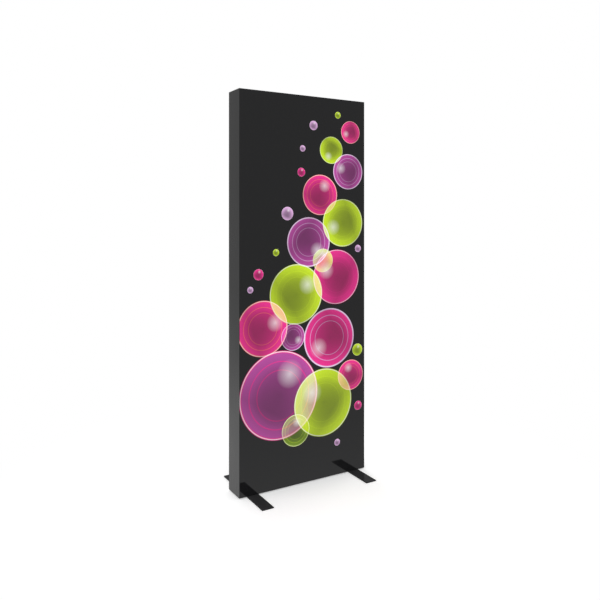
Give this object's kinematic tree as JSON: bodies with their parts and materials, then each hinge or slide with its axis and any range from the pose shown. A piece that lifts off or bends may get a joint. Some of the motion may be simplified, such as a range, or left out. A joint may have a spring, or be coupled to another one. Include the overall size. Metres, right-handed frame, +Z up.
{
  "type": "lightbox display wall",
  "caption": "Tall free-standing light box with a stretched fabric face on a slim black aluminium frame, lit from its edges, standing on flat steel plates.",
  "frame": {"origin": "on the floor under the middle of the frame, midway between the side faces and between the feet's ends", "axes": "+Z up, front graphic towards -Y, power inlet on the +X side"},
  "size_m": [0.9144, 0.55, 2.4447],
  "materials": {
    "black_frame": "satin black anodised extrusion",
    "mill_aluminium": "mill finish extrusion",
    "cast_bracket": "die cast, as cast",
    "zinc_steel": "bright zinc plated",
    "black_steel": "smooth black powder coat, semi-gloss",
    "printed_fabric": "dye-sublimation printed backlit polyester knit, satin",
    "blackout_fabric": "black-out polyester, matt",
    "silicone": "translucent white silicone strip",
    "led_board": "white solder mask with clear moulded lenses",
    "driver_case": "white moulded case",
    "black_plastic": "black moulded nylon",
    "lead_jacket": "black flexible jacket",
    "fuse_glass": "glass tube with nickel end caps"
  },
  "bodies": {
    "frame": {"left_upright_lower": "black_frame", "left_upright_upper": "black_frame", "right_upright_lower": "black_frame", "right_upright_upper": "black_frame", "top_rail": "black_frame", "bottom_rail": "black_frame", "left_splice_bar": "mill_aluminium", "right_splice_bar": "mill_aluminium", "crossbar": "mill_aluminium", "left_led_bar_lower": "mill_aluminium", "left_led_bar_upper": "mill_aluminium", "right_led_bar_lower": "mill_aluminium", "right_led_bar_upper": "mill_aluminium", "bottom_left_bracket": "cast_bracket", "bottom_right_bracket": "cast_bracket", "top_left_bracket": "cast_bracket", "top_right_bracket": "cast_bracket", "bottom_left_lock_screw": "zinc_steel", "bottom_right_lock_screw": "zinc_steel", "top_left_lock_screw": "zinc_steel", "top_right_lock_screw": "zinc_steel", "left_splice_screw": "zinc_steel", "right_splice_screw": "zinc_steel", "left_foot_bolt_outer": "zinc_steel", "left_foot_bolt_inner": "zinc_steel", "right_foot_bolt_outer": "zinc_steel", "right_foot_bolt_inner": "zinc_steel", "driver_clip_left": "zinc_steel", "driver_clip_right": "zinc_steel", "inlet_screw_lower": "zinc_steel", "inlet_screw_upper": "zinc_steel", "left_foot": "black_steel", "right_foot": "black_steel", "left_led_board_lower": "led_board", "left_led_board_upper": "led_board", "right_led_board_lower": "led_board", "right_led_board_upper": "led_board", "led_driver": "driver_case", "left_crossbar_bracket": "black_plastic", "right_crossbar_bracket": "black_plastic", "inlet_housing": "black_plastic", "left_led_jumper": "lead_jacket", "right_led_jumper": "lead_jacket", "left_led_lead": "lead_jacket", "right_led_lead": "lead_jacket", "mains_lead": "lead_jacket"},
    "graphic": {"front_graphic": "printed_fabric", "front_bead_left": "silicone", "front_bead_right": "silicone", "front_bead_top": "silicone", "front_bead_bottom": "silicone"},
    "liner": {"back_liner": "blackout_fabric", "back_bead_left": "silicone", "back_bead_right": "silicone", "back_bead_top": "silicone", "back_bead_bottom": "silicone"},
    "rocker": {"inlet_rocker": "black_plastic"},
    "drawer": {"fuse_drawer": "black_plastic", "fuse": "fuse_glass"}
  },
  "joints": [
    {"name": "graphic_pull", "type": "slide", "parent": "frame", "child": "graphic", "axis": [0, -1, 0], "range_m": [0, 0.15]},
    {"name": "liner_pull", "type": "slide", "parent": "frame", "child": "liner", "axis": [0, 1, 0], "range_m": [0, 0.15]},
    {"name": "rocker_press", "type": "hinge", "parent": "frame", "child": "rocker", "pos_m": [0.4512, 0.0402, 0.14205], "axis": [0, 0, 1], "range_deg": [-16, 0]},
    {"name": "drawer_slide", "type": "slide", "parent": "frame", "child": "drawer", "axis": [1, 0, 0], "range_m": [0, 0.02]}
  ]
}
